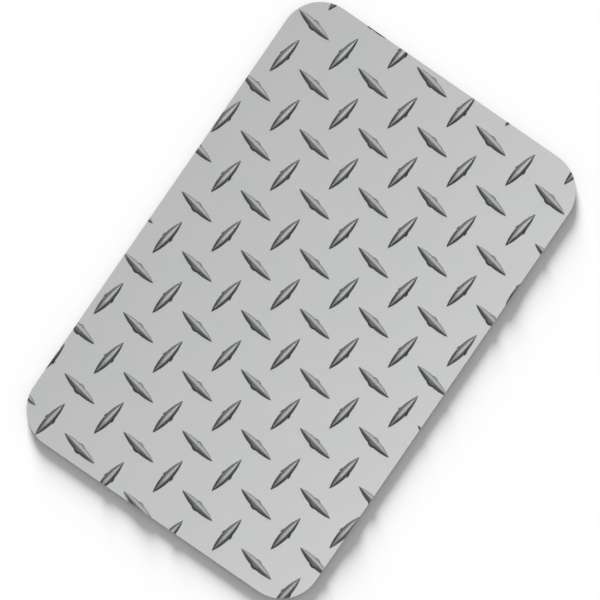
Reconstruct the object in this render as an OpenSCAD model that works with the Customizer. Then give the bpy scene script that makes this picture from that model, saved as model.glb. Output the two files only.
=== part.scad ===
// Checker steel plate: a rolled plate with raised lens-shaped lugs on its upper face, cut on a
// slant to the lug rows into a piece with four round corners.
// The origin is the centre of the underside, +X runs along the length and +Z is up.

/* [Plate] */
// Length of the cut piece, along X
plate_length = 339; // [200:1:600]
// Width of the cut piece, along Y
plate_width = 220; // [120:1:400]
// Thickness of the plate between the lugs
base_thickness = 4.8; // [3:0.1:8]
// Radius of the four corners
corner_radius = 26.5; // [5:0.5:55]

/* [Lug pattern] */
// Distance between like lugs along a row
row_pitch = 37.8; // [34:0.1:60]
// Distance between like lugs along a column
column_pitch = 38.4; // [34:0.1:60]
// Angle of the rows to the plate's length
row_angle = -54.2; // [-90:0.1:90]
// Angle of the columns to the rows
column_lean = 88.9; // [80:0.1:100]
// Angle of each lug to its column, one way for the first set and the other way for the second
lug_splay = 43.7; // [35:0.1:55]
// Where one lug of the first set sits, from the plate's centre along X
pattern_shift_x = 60.3; // [-80:0.1:80]
// Where one lug of the first set sits, from the plate's centre along Y
pattern_shift_y = 54.2; // [-80:0.1:80]

/* [Lug] */
// Length of a lug from tip to tip
lug_length = 28.4; // [20:0.1:32]
// Width of a lug beside its boss
lug_width = 5.9; // [4:0.1:9]
// Height of a lug above the plate
lug_height = 1.5; // [0.8:0.1:2.2]
// Slope of the lug's flanks from the plate
flank_angle = 40; // [36:1:60]
// Radius of the round boss at the middle of the lug, at the plate's face
boss_radius = 3.5; // [3:0.1:5]
// Radius of the boss level with the lug's crest
boss_top_radius = 0.6; // [0.2:0.1:0.9]

/* [Hidden] */
$fn = 96;

// How far the slab runs past the outline that is cut from it
overlap = 1;
// How far a lug's flanks go on into the plate
root_depth = 0.5;
// Facets of the wide flanks and of the boss
flank_facets = 240;
boss_facets = 48;
// Where the second set starts from the first, in steps along the rows and the columns
second_set_step = 0.5;

total_thickness = base_thickness + lug_height;
// Radius of each side of the lens-shaped outline of a lug
lug_side_radius = (lug_length * lug_length + lug_width * lug_width) / (4 * lug_width);
// One step along a row and one along a column, as vectors
row_step = row_pitch * [cos(row_angle), sin(row_angle)];
column_angle = row_angle + column_lean;
column_step = column_pitch * [cos(column_angle), sin(column_angle)];
// Steps each way from the first lug that are sure to cover the plate
plate_diagonal = norm([plate_length, plate_width]);
steps = ceil(plate_diagonal / min(row_pitch, column_pitch)) + 1;

// A lug's place, counted in steps from the first lug
function lug_place(row, column) =
    [pattern_shift_x, pattern_shift_y] + row * row_step + column * column_step;

// Whether a lug centred there reaches the plate
function on_plate(place) =
    abs(place.x) < (plate_length + lug_length) / 2 &&
    abs(place.y) < (plate_width + lug_length) / 2;

module outline() {
    square([plate_length - 2 * corner_radius, plate_width], center = true);
    square([plate_length, plate_width - 2 * corner_radius], center = true);
    for (side_x = [-1, 1], side_y = [-1, 1])
        translate([
            side_x * (plate_length / 2 - corner_radius),
            side_y * (plate_width / 2 - corner_radius)
        ])
            circle(corner_radius);
}

// A round form with one radius at the plate's face and a smaller one level with the lug's crest
module flank(face_radius, crest_radius) {
    narrowing = (face_radius - crest_radius) / lug_height;
    translate([0, 0, -root_depth])
        cylinder(
            h = lug_height + root_depth,
            r1 = face_radius + root_depth * narrowing,
            r2 = crest_radius
        );
}

// Two wide flanks that cross leave a lens with pointed ends, which rise from the plate to its crest
module lug_lens() {
    intersection_for (side = [-1, 1])
        translate([0, side * (lug_side_radius - lug_width / 2), 0])
            flank(
                lug_side_radius,
                lug_side_radius - lug_height / tan(flank_angle),
                $fn = flank_facets
            );
}

// A low cone that stands out of both flanks at the middle of the lug
module lug_boss() {
    flank(boss_radius, boss_top_radius, $fn = boss_facets);
}

module lug() {
    lug_lens();
    lug_boss();
}

module lug_set(first_step, angle) {
    for (row = [-steps : steps], column = [-steps : steps]) {
        place = lug_place(row + first_step, column + first_step);
        if (on_plate(place))
            translate([place.x, place.y, base_thickness])
                rotate(angle)
                    lug();
    }
}

module checker_plate() {
    color("silver")
        intersection() {
            linear_extrude(total_thickness)
                outline();
            union() {
                translate([0, 0, base_thickness / 2])
                    cube(
                        [plate_length + 2 * overlap, plate_width + 2 * overlap, base_thickness],
                        center = true
                    );
                lug_set(0, column_angle - lug_splay);
                lug_set(second_set_step, column_angle + lug_splay);
            }
        }
}

checker_plate();
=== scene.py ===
"""Lengths are in metres.

The plate is one mesh, whose upper face follows a formula for the lugs, with the small fillets, rounded
crests and broken edges that rolled steel has. An azimuth is an angle across the picture, anticlockwise
from its right-hand side. One of the two sets of lugs is the slotted set.
"""

import math

import bpy
import numpy as np
from mathutils import Matrix, Vector
from mathutils.geometry import delaunay_2d_cdt


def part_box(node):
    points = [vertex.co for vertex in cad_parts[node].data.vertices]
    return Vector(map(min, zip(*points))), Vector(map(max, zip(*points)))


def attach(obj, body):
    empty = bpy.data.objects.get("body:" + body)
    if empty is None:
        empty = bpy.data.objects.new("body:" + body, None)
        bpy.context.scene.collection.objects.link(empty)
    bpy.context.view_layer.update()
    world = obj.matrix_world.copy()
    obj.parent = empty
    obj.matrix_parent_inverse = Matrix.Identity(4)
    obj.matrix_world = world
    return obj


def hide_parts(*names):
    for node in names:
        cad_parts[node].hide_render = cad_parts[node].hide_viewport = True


MM = 0.001

# The plate and its lugs, as the CAD has them
CORNER_RADIUS = 26.5 * MM
LUG_HEIGHT = 1.5 * MM
ROW_PITCH = 37.8 * MM
COLUMN_PITCH = 38.4 * MM
ROW_ANGLE = math.radians(-54.2)
COLUMN_ANGLE = ROW_ANGLE + math.radians(88.9)
LUG_SPLAY = math.radians(43.7)
PATTERN_SHIFT = np.array([60.3, 54.2]) * MM
LUG_LENGTH = 28.4 * MM
LUG_WIDTH = 5.9 * MM

# Fine relief that the CAD leaves out. Each lug is a crowned lens that falls to its two tips
EDGE_BREAK = 0.25 * MM
CROWN_POWER = 2.1
TIP_SLOPE = 2.0
TIP_ROUNDING = 0.4 * MM
LEAST_HALF_WIDTH = 0.02 * MM
ROOT_FILLET = 0.12 * MM
# The lugs that have no slot have their crest and their boss a little to one side
CREST_SHIFT = 0.32 * MM
BOSS_SHIFT = 0.25 * MM
# The boss slopes away across the lug, hardly at all along it, and a steeper rim ends it
BOSS_RADIUS = 3.5 * MM
BOSS_CREST = 1.45 * MM
BOSS_SPREAD = 3.5 * MM
BOSS_POWER = 1.5
BOSS_STRETCH = 0.15
BOSS_RIM_SLOPE = 1.2
BOSS_BLEND = 0.08 * MM
# Each slot runs between two points, given along the lug and across it
SLOT_OUTER = (-1.75 * MM, 3.3 * MM)
SLOT_INNER = (-1.1 * MM, 2.6 * MM)
SLOT_HALF_WIDTH = 0.18 * MM
SLOT_SLOPE = 2.0

# Painted shade in a ring at the foot of each boss
SHADE_RING_RADIUS = 2.95 * MM
SHADE_RING_WIDTH = 0.42 * MM
SHADE_RING_FADE = 0.5 * MM
SHADE_RING_FROM_CREST = 1.8 * MM
# On a slotted lug the ring starts clear of the slot, and it is weaker on one side
SHADE_RING_FROM_SLOT = -1.4 * MM
WEAK_SIDE_SHADE = 0.45
# A slotted lug also has painted shade at both tips and along one end, and a painted highlight along its crest
TIP_SHADE = 0.6
TIP_SHADE_START = 12.0 * MM
TIP_SHADE_RISE = 1.0 * MM
END_SHADE = 0.4
END_SHADE_START = 4 * MM
END_SHADE_RISE = 4 * MM
HIGHLIGHT_FROM = -4 * MM
HIGHLIGHT_TO = 11 * MM
HIGHLIGHT_FADE = 2 * MM
HIGHLIGHT_WIDTH = 0.55 * MM

# How finely a lug and a corner are divided. The stations along a lug crowd together in its middle
LUG_STATIONS = 44
LUG_LINES = 19
EVEN_SHARE = 0.45
CROWDING_POWER = 2.2
TIP_MARGIN = 0.1 * MM
LEAST_GRID_WIDTH = 0.05 * MM
CORNER_SEGMENTS = 24
JOIN_TOLERANCE = 1e-7
NORMAL_STEP = 0.02 * MM
CREASE_ANGLE = math.radians(30)

# The picture
PICTURE_TURN = math.radians(55.41)
FRAME_WIDTH = 385.4 * MM
CAMERA_LENS = 800.0
CAMERA_OFFSET = Vector((-0.28, 0.66)) * MM
CAMERA_CLIP = (0.01, 50)

# Rolled finish: the flats are patches of two tones, flecked by grain and pits, under a painted shade that
# drifts across the plate, and the lugs are painted darker, as shade
FLAT_ROUGHNESS = 0.50
LUG_ROUGHNESS = 0.32
ROUGHNESS_FLECK = 0.05
RAISED_HEIGHTS = (0.01 * MM, 0.14 * MM)
WORN_SHARE = 0.8
WORN_GLOSS = 0.03
FLAT_NEUTRAL = (0.694, 0.681, 0.683, 1)
FLAT_COOL = (0.668, 0.688, 0.680, 1)
# Painted shade: the lugs take a darker copy of the steel's colour
SHADED_LUG_COLOUR = (0.355, 0.368, 0.359, 1)
# Painted highlight along the slotted lugs' crests
CREST_HIGHLIGHT_COLOUR = (0.52, 0.535, 0.525, 1)
# Painted shade at the feet of the bosses, at the slotted lugs' tips and along one end
PAINTED_SHADE_COLOUR = (0.09, 0.09, 0.085, 1)
PAINTED_SHADE_STRENGTH = 0.8
# Painted shade that drifts across the plate, darker towards +X and +Y
SHADE_DRIFT = (-0.05, -0.08)
TONE_FLECK = 0.03
GRAIN_SCALE = 1300
GRAIN_STRETCH = (0.04, 1, 1)
PIT_SCALE = 1100
PATCH_SCALE = 42
PATCH_BLEND = (0.42, 0.60)
GRAIN_DEPTH = 0.5
FACE_BUMP = {"Strength": 0.2, "Distance": 0.01 * MM}

# Cut finish: fine lines down the edge, over broader scale
CUT_COLOUR = (0.30, 0.30, 0.295)
CUT_LINE_SCALE = 1600
CUT_LINE_STRETCH = (1, 1, 0.06)
CUT_LINE_TONE = (0.75, 1.15)
CUT_PATCH_SCALE = 160
CUT_PATCH_TONE = 0.2
CUT_ROUGHNESS = (0.35, 0.55)
CUT_BUMP = {"Strength": 0.5, "Distance": 0.05 * MM}

# The floor
FLOOR_SIZE = 12.0
FLOOR_COLOUR = (0.9, 0.9, 0.9, 1)

# Light on the plate. An overhead is its name, its two angles from the zenith and its radiance,
# and a panel is its two azimuths, its two elevations and its radiance
LIGHT_DISTANCE = 12.0
OVERHEAD_AZIMUTH = 45
OVERHEAD_HALF_SPREAD = 37
OVERHEADS = (("overhead", 0, 22, 1.36), ("overhead_far", 22, 55, 0.96), ("overhead_back", -50, 0, 0.26))
SIDE_PANEL = ((5, 85), (2, 35), 0.95)
NORTH_PANEL = ((85, 130), (6, 60), 0.6)
WORLD_GLOSSY = 0.15
WORLD_DIFFUSE = 0.43
WORLD_SEEN = 1.0
# Light on the floor
KEY_AZIMUTH = 100
KEY_ELEVATION = 16.5
KEY_SPREAD = math.radians(23)
KEY_STRENGTH = 7.5

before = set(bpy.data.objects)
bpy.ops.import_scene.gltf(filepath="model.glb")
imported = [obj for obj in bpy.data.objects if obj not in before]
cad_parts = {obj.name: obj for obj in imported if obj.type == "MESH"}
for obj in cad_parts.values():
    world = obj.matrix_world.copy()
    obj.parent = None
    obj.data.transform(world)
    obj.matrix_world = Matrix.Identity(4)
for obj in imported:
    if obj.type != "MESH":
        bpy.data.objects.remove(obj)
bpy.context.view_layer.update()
LOW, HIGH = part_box("checker_plate")
HALF_LENGTH = HIGH.x
HALF_WIDTH = HIGH.y
TOP = HIGH.z - LUG_HEIGHT

# The two arcs of a lug's outline, and how far from its centre the lug can be
LENS_RADIUS = (LUG_LENGTH**2 + LUG_WIDTH**2) / (4 * LUG_WIDTH)
LENS_OFFSET = LENS_RADIUS - LUG_WIDTH / 2
LUG_REACH = 0.52 * LUG_LENGTH


# ------------------------------------------------------------------ relief and painted shade and highlight of the upper face


def ramp(value, start, rise):
    """0 up to start, then steadily up to 1 over the rise."""
    return np.clip((value - start) / rise, 0, 1)


def smooth_min(a, b, k):
    """The smaller of a and b, rounded over a height k where they cross."""
    share = np.clip(0.5 + 0.5 * (b - a) / k, 0, 1)
    return b + (a - b) * share - k * share * (1 - share)


def lens_half_width(u):
    """Half the width of a lug's lens-shaped outline at a distance u along it."""
    return np.sqrt(np.maximum(LENS_RADIUS**2 - u**2, 0)) - LENS_OFFSET


def slot_relief(u, v):
    """Height that the narrow slots beside the boss leave, down to the plate in their middle."""
    du, dv = SLOT_INNER[0] - SLOT_OUTER[0], SLOT_INNER[1] - SLOT_OUTER[1]
    from_u, from_v = u - SLOT_OUTER[0], np.abs(v) - SLOT_OUTER[1]
    share = np.clip((from_u * du + from_v * dv) / (du**2 + dv**2), 0, 1)
    distance = np.hypot(from_u - share * du, from_v - share * dv)
    return SLOT_SLOPE * np.maximum(distance - SLOT_HALF_WIDTH, 0)


def lug_relief(u, v, slotted):
    """Height of a lug above the plate, u along the lug and v across it."""
    half_width = np.maximum(lens_half_width(u), LEAST_HALF_WIDTH)
    crest = smooth_min(TIP_SLOPE * half_width, LUG_HEIGHT, TIP_ROUNDING)
    shift = 0 if slotted else CREST_SHIFT * np.maximum(1 - (v / half_width) ** 2, 0)
    lens = np.maximum(crest * (1 - (np.abs(v + shift) / half_width) ** CROWN_POWER), -LUG_HEIGHT)
    lens = np.where(half_width > LEAST_HALF_WIDTH, lens, -LUG_HEIGHT)
    from_boss = v if slotted else v - BOSS_SHIFT
    rounding = (np.hypot(BOSS_STRETCH * u, from_boss) / BOSS_SPREAD) ** BOSS_POWER
    rim = BOSS_RIM_SLOPE * (BOSS_RADIUS - np.hypot(u, from_boss))
    boss = smooth_min(BOSS_CREST * (1 - rounding), rim, BOSS_BLEND)
    height = np.maximum(-smooth_min(-lens, -boss, BOSS_BLEND), -LUG_HEIGHT)
    height = -smooth_min(-height, 0.0, ROOT_FILLET)
    return np.minimum(height, slot_relief(u, v)) if slotted else height


def lug_places():
    """Centre and direction of each lug that reaches the plate, and whether it is of the slotted set."""
    row = ROW_PITCH * np.array([math.cos(ROW_ANGLE), math.sin(ROW_ANGLE)])
    column = COLUMN_PITCH * np.array([math.cos(COLUMN_ANGLE), math.sin(COLUMN_ANGLE)])
    reach = np.array([HALF_LENGTH, HALF_WIDTH]) + LUG_LENGTH / 2
    steps = math.ceil(2 * math.hypot(*reach) / min(ROW_PITCH, COLUMN_PITCH))
    places = []
    # The second set stands half a step on from the first, both ways
    sets = ((0.0, COLUMN_ANGLE - LUG_SPLAY, True), (0.5, COLUMN_ANGLE + LUG_SPLAY, False))
    for first, angle, slotted in sets:
        for i in range(-steps, steps + 1):
            for j in range(-steps, steps + 1):
                centre = PATTERN_SHIFT + (i + first) * row + (j + first) * column
                if np.all(np.abs(centre) < reach):
                    places.append((centre, angle, slotted))
    return places


def near_lug(points, centre, angle):
    """Which points are near a lug, and how far they are along it and across it."""
    near = np.nonzero(np.hypot(*(points - centre).T) < LUG_REACH)[0]
    along = np.array([math.cos(angle), math.sin(angle)])
    across = np.array([-along[1], along[0]])
    local = points[near] - centre
    return near, local @ along, local @ across


def boss_painted_shade(u, v):
    """Painted shade in a ring at the foot of a boss, where it stands out of the lug's flanks."""
    ring = np.exp(-(((np.hypot(u, v) - SHADE_RING_RADIUS) / SHADE_RING_WIDTH) ** 2))
    return ring * ramp(np.abs(v), SHADE_RING_FROM_CREST, SHADE_RING_FADE)


def slotted_painted_light(u, v):
    """Painted shade on a slotted lug, less a painted highlight along its crest."""
    ring = boss_painted_shade(u, v) * ramp(u, SHADE_RING_FROM_SLOT, SHADE_RING_FADE) * np.where(v > 0, WEAK_SIDE_SHADE, 1)
    tips = TIP_SHADE * ramp(np.abs(u), TIP_SHADE_START, TIP_SHADE_RISE)
    end_shade = END_SHADE * ramp(-u, END_SHADE_START, END_SHADE_RISE)
    on_lug = np.abs(v) < lens_half_width(u)
    crest_highlight = ramp(u, HIGHLIGHT_FROM, HIGHLIGHT_FADE) * ramp(-u, -HIGHLIGHT_TO, HIGHLIGHT_FADE)
    return ring + np.maximum(tips, end_shade) * on_lug - crest_highlight * np.exp(-((v / HIGHLIGHT_WIDTH) ** 2))


def painted_light_at(points, places):
    """How much painted shade lies at each point, and below zero how much painted highlight."""
    painted_light = np.zeros(len(points))
    for centre, angle, slotted in places:
        near, u, v = near_lug(points, centre, angle)
        painted_light[near] += slotted_painted_light(u, v) if slotted else boss_painted_shade(u, v)
    return painted_light


def relief_at(points, places):
    """Height of the upper face above the plate at each point."""
    height = np.zeros(len(points))
    for centre, angle, slotted in places:
        near, u, v = near_lug(points, centre, angle)
        height[near] = np.maximum(height[near], lug_relief(u, v, slotted))
    return height


# ------------------------------------------------------------------ outline


def rounded_rectangle(inset):
    """Points round the plate's outline, anticlockwise, moved in by inset."""
    radius = CORNER_RADIUS - inset
    quarter = np.linspace(0, math.pi / 2, CORNER_SEGMENTS + 1)
    points = []
    for k, (side_x, side_y) in enumerate(((1, 1), (-1, 1), (-1, -1), (1, -1))):
        centre = (side_x * (HALF_LENGTH - CORNER_RADIUS), side_y * (HALF_WIDTH - CORNER_RADIUS))
        turn = quarter + k * math.pi / 2
        points.append(np.stack([centre[0] + radius * np.cos(turn), centre[1] + radius * np.sin(turn)], 1))
    return np.concatenate(points)


def outline_inset(points):
    """How far inside the plate's outline each point is."""
    past_corner = np.abs(points) - (np.array([HALF_LENGTH, HALF_WIDTH]) - CORNER_RADIUS)
    return CORNER_RADIUS - np.hypot(*np.maximum(past_corner, 0).T) - np.minimum(past_corner.max(1), 0)


# ------------------------------------------------------------------ mesh


def lug_grid():
    """The points that divide one lug, and the lines that join them along it."""
    tip = LUG_LENGTH / 2 + TIP_MARGIN
    station = np.linspace(-1, 1, LUG_STATIONS)
    crowded = np.sign(station) * np.abs(station) ** CROWDING_POWER
    u = tip * (EVEN_SHARE * station + (1 - EVEN_SHARE) * crowded)
    lens = lens_half_width(u) + ROOT_FILLET
    boss = np.sqrt(np.maximum((BOSS_RADIUS + BOSS_SHIFT + ROOT_FILLET) ** 2 - u**2, 0))
    width = np.maximum(lens, boss)
    keep = (np.abs(u) < tip) & (width > LEAST_GRID_WIDTH)
    u, width = u[keep], width[keep]
    points = [(-tip, 0.0), (tip, 0.0)]
    edges = []
    for share in np.linspace(-1, 1, LUG_LINES):
        first = len(points)
        points += zip(u, share * width)
        chain = [0, *range(first, first + len(u)), 1]
        edges += zip(chain[:-1], chain[1:])
    return np.array(points), edges


def top_surface(places):
    """Vertices and triangles of the upper face."""
    points, edges = [], []

    def add(new_points, new_edges):
        start = sum(map(len, points))
        points.append(new_points)
        edges.extend((a + start, b + start) for a, b in new_edges)

    for inset in (0, EDGE_BREAK):
        loop = rounded_rectangle(inset)
        add(loop, [(k, (k + 1) % len(loop)) for k in range(len(loop))])
    grid, lines = lug_grid()
    for centre, angle, _ in places:
        c, s = math.cos(angle), math.sin(angle)
        add(grid @ np.array([[c, s], [-s, c]]) + centre, lines)
    joined = [Vector(p) for p in np.concatenate(points) / MM]
    corners, _, triangles, *_ = delaunay_2d_cdt(joined, edges, [], 0, JOIN_TOLERANCE)
    flat = np.array([tuple(c) for c in corners]) * MM
    triangles = np.array([t for t in triangles if len(t) == 3])
    triangles = triangles[outline_inset(flat[triangles].mean(1)) > 0]
    used, triangles = np.unique(triangles, return_inverse=True)
    return flat[used], triangles.reshape(-1, 3)


def ring_round(triangles):
    """The vertices round the edge of a surface, in order."""
    follows = {}
    sides = np.concatenate([triangles[:, [0, 1]], triangles[:, [1, 2]], triangles[:, [2, 0]]])
    pairs = set(map(tuple, sides.tolist()))
    for a, b in pairs:
        if (b, a) not in pairs:
            follows[a] = b
    ring = [next(iter(follows))]
    while follows[ring[-1]] != ring[0]:
        ring.append(follows[ring[-1]])
    return ring


def top_normals(flat, places):
    """Which way the relief faces at each point of the upper face, at any length."""
    slope = [
        (relief_at(flat + shift, places) - relief_at(flat - shift, places)) / (2 * NORMAL_STEP)
        for shift in NORMAL_STEP * np.eye(2)
    ]
    return np.stack([-slope[0], -slope[1], np.ones(len(flat))], 1)


def plate_surface():
    """Vertices, faces, normals and painted shade and highlight of the whole plate, and how many faces are its
    upper face.

    The upper face's triangles come first, then the walls and the foot's bevel, then the underside."""
    places = lug_places()
    flat, triangles = top_surface(places)
    edge_drop = np.clip(EDGE_BREAK - outline_inset(flat), 0, EDGE_BREAK)
    z = TOP + relief_at(flat, places) - edge_drop
    top = np.column_stack([flat, z])
    ring = ring_round(triangles)
    outer = flat[ring]
    shrink = 1 - EDGE_BREAK / np.array([HALF_LENGTH, HALF_WIDTH])
    wall = np.column_stack([outer, np.full(len(ring), LOW.z + EDGE_BREAK)])
    foot = np.column_stack([outer * shrink, np.full(len(ring), LOW.z)])
    vertices = np.concatenate([top, wall, foot])
    faces = triangles.tolist()
    count = len(ring)
    wall_start, foot_start = len(top), len(top) + count
    for k in range(count):
        n = (k + 1) % count
        faces.append([ring[n], ring[k], wall_start + k, wall_start + n])
        faces.append([wall_start + n, wall_start + k, foot_start + k, foot_start + n])
    faces.append([foot_start + k for k in reversed(range(count))])
    painted_light = np.concatenate([painted_light_at(flat, places), np.zeros(2 * count)])
    return vertices, faces, top_normals(flat, places), painted_light, len(triangles)


def build_plate():
    """The plate as one object. Its edge has the cut finish, and both faces have the rolled one."""
    vertices, faces, normals, painted_light, top_faces = plate_surface()
    mesh = bpy.data.meshes.new("rolled_plate")
    mesh.from_pydata(vertices.tolist(), [], faces)
    # The painted shade, and the painted highlight below zero, are kept as a point attribute for the material
    mesh.attributes.new("painted_light", "FLOAT", "POINT").data.foreach_set("value", painted_light)
    mesh.shade_smooth()
    mesh.set_sharp_from_angle(angle=CREASE_ANGLE)
    mesh.materials.append(steel_face())
    mesh.materials.append(steel_cut_edge())
    slots = np.ones(len(faces), int)
    slots[:top_faces] = 0
    slots[-1] = 0  # the underside
    mesh.polygons.foreach_set("material_index", slots)
    # A zero normal leaves that corner as Blender shades it
    corners = np.zeros((len(mesh.loops), 3))
    on_top = np.concatenate(faces[:top_faces])
    corners[: len(on_top)] = normals[on_top]
    mesh.normals_split_custom_set(corners.tolist())
    plate = bpy.data.objects.new("rolled_plate", mesh)
    bpy.context.scene.collection.objects.link(plate)
    return plate


# ------------------------------------------------------------------ materials


class Nodes:
    """A node tree being filled in."""

    def __init__(self, tree):
        self.tree = tree
        tree.nodes.clear()

    def add(self, kind, inputs=None, **settings):
        node = self.tree.nodes.new(kind)
        for name, value in settings.items():
            setattr(node, name, value)
        for key, value in (inputs or {}).items():
            if isinstance(value, bpy.types.NodeSocket):
                self.tree.links.new(value, node.inputs[key])
            else:
                node.inputs[key].default_value = value
        return node


def new_material(name):
    material = bpy.data.materials.new(name)
    material.use_nodes = True
    return material, Nodes(material.node_tree)


def noise(nodes, place, scale, detail=2.0, stretch=(1, 1, 1), turn=0.0):
    """Noise from 0 to 1, stretched along the directions where stretch is small."""
    moved = nodes.add(
        "ShaderNodeMapping", {"Vector": place, "Rotation": (0, 0, turn), "Scale": stretch}
    ).outputs["Vector"]
    return nodes.add("ShaderNodeTexNoise", {"Vector": moved, "Scale": scale, "Detail": detail}).outputs["Fac"]


def spread(nodes, value, low, high, start=0.0, end=1.0, smooth=False):
    """A value from start to end taken to one from low to high, and held beyond them."""
    return nodes.add(
        "ShaderNodeMapRange",
        {"Value": value, "From Min": start, "From Max": end, "To Min": low, "To Max": high},
        interpolation_type="SMOOTHSTEP" if smooth else "LINEAR",
    ).outputs["Result"]


def blend(nodes, factor, a, b):
    """Colour a where the factor is 0 or less and colour b where it is 1 or more."""
    return nodes.add("ShaderNodeMix", {"Factor": factor, 6: a, 7: b}, data_type="RGBA").outputs[2]


def scaled(nodes, colour, tone):
    return nodes.add("ShaderNodeVectorMath", {0: colour, "Scale": tone}, operation="SCALE").outputs[0]


def maths(nodes, operation, *values):
    return nodes.add("ShaderNodeMath", dict(enumerate(values)), operation=operation).outputs[0]


def metal(nodes, colour, roughness, bump):
    """Ends a material as bare metal."""
    shader = nodes.add(
        "ShaderNodeBsdfPrincipled",
        {"Base Color": colour, "Metallic": 1.0, "Roughness": roughness, "Normal": bump.outputs[0]},
    )
    nodes.add("ShaderNodeOutputMaterial", {"Surface": shader.outputs["BSDF"]})


def face_tone(nodes, axes, grain, pits):
    """What the flat steel's colour is multiplied by: a painted shade that drifts over the plate, darker
    towards +X and +Y, and fleck.
    """
    shade_drift = maths(
        nodes,
        "ADD",
        spread(nodes, axes["X"], 1 - SHADE_DRIFT[0], 1 + SHADE_DRIFT[0], -HALF_LENGTH, HALF_LENGTH),
        spread(nodes, axes["Y"], -SHADE_DRIFT[1], SHADE_DRIFT[1], -HALF_WIDTH, HALF_WIDTH),
    )
    fleck = [spread(nodes, value, -TONE_FLECK, TONE_FLECK) for value in (grain, pits)]
    return maths(nodes, "ADD", shade_drift, maths(nodes, "ADD", *fleck))


def face_colour(nodes, flat, raised):
    """The flat steel's colour, the lugs' darker colour where it is raised, which is painted shade, and over
    both the painted shade and the painted highlight.
    """
    colour = blend(nodes, raised, flat, SHADED_LUG_COLOUR)
    painted_light = nodes.add("ShaderNodeAttribute", attribute_name="painted_light").outputs["Fac"]
    colour = blend(nodes, maths(nodes, "MULTIPLY", painted_light, PAINTED_SHADE_STRENGTH), colour, PAINTED_SHADE_COLOUR)
    return blend(nodes, maths(nodes, "MULTIPLY", painted_light, -1.0), colour, CREST_HIGHLIGHT_COLOUR)


def steel_face():
    material, nodes = new_material("rolled_steel")
    place = nodes.add("ShaderNodeTexCoord").outputs["Object"]
    axes = nodes.add("ShaderNodeSeparateXYZ", {"Vector": place}).outputs
    raised = spread(nodes, axes["Z"], 0, 1, TOP + RAISED_HEIGHTS[0], TOP + RAISED_HEIGHTS[1])
    worn = spread(nodes, axes["Z"], 0, WORN_GLOSS, TOP + WORN_SHARE * LUG_HEIGHT, TOP + LUG_HEIGHT)
    grain = noise(nodes, place, GRAIN_SCALE, detail=3.0, stretch=GRAIN_STRETCH, turn=-COLUMN_ANGLE)
    pits = noise(nodes, place, PIT_SCALE, detail=4.0)
    patches = spread(nodes, noise(nodes, place, PATCH_SCALE), 0, 1, *PATCH_BLEND, smooth=True)
    flat = scaled(nodes, blend(nodes, patches, FLAT_NEUTRAL, FLAT_COOL), face_tone(nodes, axes, grain, pits))
    roughness = maths(
        nodes,
        "ADD",
        spread(nodes, raised, FLAT_ROUGHNESS, LUG_ROUGHNESS),
        maths(nodes, "SUBTRACT", spread(nodes, grain, -ROUGHNESS_FLECK, ROUGHNESS_FLECK), worn),
    )
    relief = maths(nodes, "ADD", spread(nodes, grain, 0.0, GRAIN_DEPTH), pits)
    bump = nodes.add("ShaderNodeBump", {"Height": relief, **FACE_BUMP})
    metal(nodes, face_colour(nodes, flat, raised), roughness, bump)
    return material


def steel_cut_edge():
    material, nodes = new_material("cut_steel")
    place = nodes.add("ShaderNodeTexCoord").outputs["Object"]
    lines = noise(nodes, place, CUT_LINE_SCALE, detail=3.0, stretch=CUT_LINE_STRETCH)
    scale = noise(nodes, place, CUT_PATCH_SCALE, detail=3.0)
    tone = maths(
        nodes,
        "ADD",
        spread(nodes, lines, *CUT_LINE_TONE),
        spread(nodes, scale, -CUT_PATCH_TONE, CUT_PATCH_TONE),
    )
    bump = nodes.add("ShaderNodeBump", {"Height": lines, **CUT_BUMP})
    metal(nodes, scaled(nodes, CUT_COLOUR, tone), spread(nodes, scale, *CUT_ROUGHNESS), bump)
    return material


def floor_finish():
    material, nodes = new_material("pale_floor")
    shader = nodes.add(
        "ShaderNodeBsdfPrincipled",
        {"Base Color": FLOOR_COLOUR, "Roughness": 1.0, "Specular IOR Level": 0.0},
    )
    nodes.add("ShaderNodeOutputMaterial", {"Surface": shader.outputs["BSDF"]})
    return material


# ------------------------------------------------------------------ stage, light and camera


def across_picture(azimuth, elevation=0.0):
    """Unit vector in the plate's frame towards an azimuth of the picture, in degrees."""
    turn = math.radians(azimuth) - PICTURE_TURN
    rise = math.radians(elevation)
    return Vector((math.cos(turn) * math.cos(rise), math.sin(turn) * math.cos(rise), math.sin(rise)))


def add_floor():
    mesh = bpy.data.meshes.new("floor")
    half = FLOOR_SIZE / 2
    corners = [(-half, -half, 0), (half, -half, 0), (half, half, 0), (-half, half, 0)]
    mesh.from_pydata(corners, [], [(0, 1, 2, 3)])
    mesh.materials.append(floor_finish())
    floor = bpy.data.objects.new("floor", mesh)
    bpy.context.scene.collection.objects.link(floor)
    return floor


def add_softbox(name, centre, back, right, width, height, radiance):
    """A rectangular light. Its back faces the direction back, and its width runs along right."""
    light = bpy.data.lights.new(name, "AREA")
    light.shape = "RECTANGLE"
    light.size = width
    light.size_y = height
    light.energy = radiance * math.pi * width * height
    lamp = bpy.data.objects.new(name, light)
    lamp.location = centre
    lamp.rotation_mode = "QUATERNION"
    lamp.rotation_quaternion = Matrix((right, back.cross(right), back)).transposed().to_quaternion()
    lamp.visible_camera = False
    bpy.context.scene.collection.objects.link(lamp)
    return lamp


def add_panel(name, azimuths, elevations, radiance):
    """A softbox that faces the plate and spans two azimuths and two elevations, in degrees."""
    azimuth, elevation = sum(azimuths) / 2, sum(elevations) / 2
    width, height = (
        2 * LIGHT_DISTANCE * math.tan(math.radians(high - low) / 2) for low, high in (azimuths, elevations)
    )
    back = across_picture(azimuth, elevation)
    right = across_picture(azimuth + 90)
    return add_softbox(name, LIGHT_DISTANCE * back, back, right, width, height, radiance)


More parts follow.
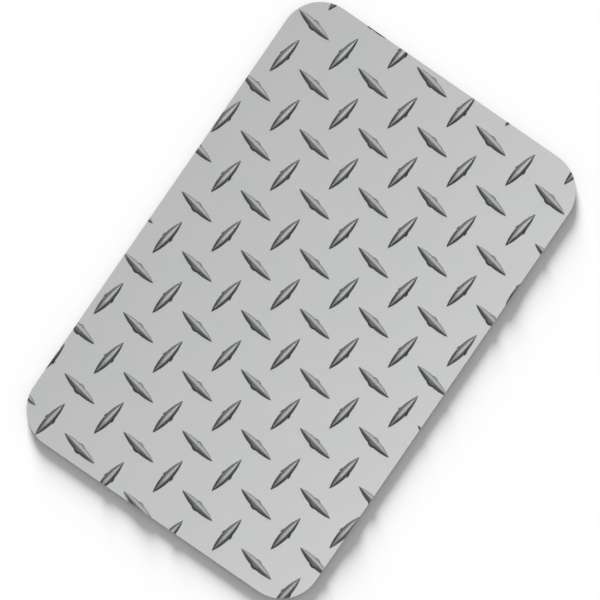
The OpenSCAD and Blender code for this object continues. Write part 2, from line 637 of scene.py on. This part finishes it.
def add_overhead(name, start, end, radiance):
    """A level softbox between two angles from the zenith, out towards OVERHEAD_AZIMUTH."""
    low, high = (LIGHT_DISTANCE * math.tan(math.radians(angle)) for angle in (start, end))
    width = 2 * LIGHT_DISTANCE * math.tan(math.radians(OVERHEAD_HALF_SPREAD))
    up = Vector((0, 0, 1))
    centre = LIGHT_DISTANCE * up + across_picture(OVERHEAD_AZIMUTH) * (low + high) / 2
    return add_softbox(name, centre, up, across_picture(OVERHEAD_AZIMUTH - 90), width, high - low, radiance)


def add_key():
    """The sun that throws the plate's shadow on the floor."""
    key = bpy.data.lights.new("floor_key", "SUN")
    key.energy = KEY_STRENGTH
    key.angle = KEY_SPREAD
    lamp = bpy.data.objects.new("floor_key", key)
    lamp.rotation_mode = "QUATERNION"
    lamp.rotation_quaternion = across_picture(KEY_AZIMUTH, KEY_ELEVATION).to_track_quat("Z", "Y")
    bpy.context.scene.collection.objects.link(lamp)
    return lamp


def shine_only_on(lamp, thing):
    group = bpy.data.collections.new(lamp.name + "_receivers")
    group.objects.link(thing)
    lamp.light_linking.receiver_collection = group


def add_lights(floor, plate):
    panels = [add_overhead(*overhead) for overhead in OVERHEADS]
    panels.append(add_panel("side", *SIDE_PANEL))
    panels.append(add_panel("north", *NORTH_PANEL))
    for panel in panels:
        shine_only_on(panel, plate)
    shine_only_on(add_key(), floor)


def add_world():
    """An even surround, with its own strength for shiny faces, for soft light and for the camera."""
    world = bpy.data.worlds.new("studio")
    world.use_nodes = True
    world.cycles.sampling_method = "NONE"
    bpy.context.scene.world = world
    nodes = Nodes(world.node_tree)
    ray = nodes.add("ShaderNodeLightPath")
    dim = nodes.add(
        "ShaderNodeMix",
        {"Factor": ray.outputs["Is Diffuse Ray"], 2: WORLD_GLOSSY, 3: WORLD_DIFFUSE},
        data_type="FLOAT",
    )
    seen = nodes.add(
        "ShaderNodeMix",
        {"Factor": ray.outputs["Is Camera Ray"], 2: dim.outputs[0], 3: WORLD_SEEN},
        data_type="FLOAT",
    )
    background = nodes.add("ShaderNodeBackground", {"Color": (1, 1, 1, 1), "Strength": seen.outputs[0]})
    nodes.add("ShaderNodeOutputWorld", {"Surface": background.outputs[0]})


def add_camera():
    """A camera straight above the plate, so far away that its lines of sight are almost parallel."""
    data = bpy.data.cameras.new("camera")
    data.lens = CAMERA_LENS
    camera = bpy.data.objects.new("camera", data)
    distance = FRAME_WIDTH * CAMERA_LENS / data.sensor_width
    camera.location = (CAMERA_OFFSET.x, CAMERA_OFFSET.y, TOP + distance)
    camera.rotation_euler = (0, 0, -PICTURE_TURN)
    data.clip_start, data.clip_end = CAMERA_CLIP
    bpy.context.scene.collection.objects.link(camera)
    bpy.context.scene.camera = camera


# ------------------------------------------------------------------ scene

plate = build_plate()
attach(plate, "root")
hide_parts("checker_plate")

floor = add_floor()
add_lights(floor, plate)
add_world()
add_camera()
bpy.context.scene.view_settings.view_transform = "Standard"
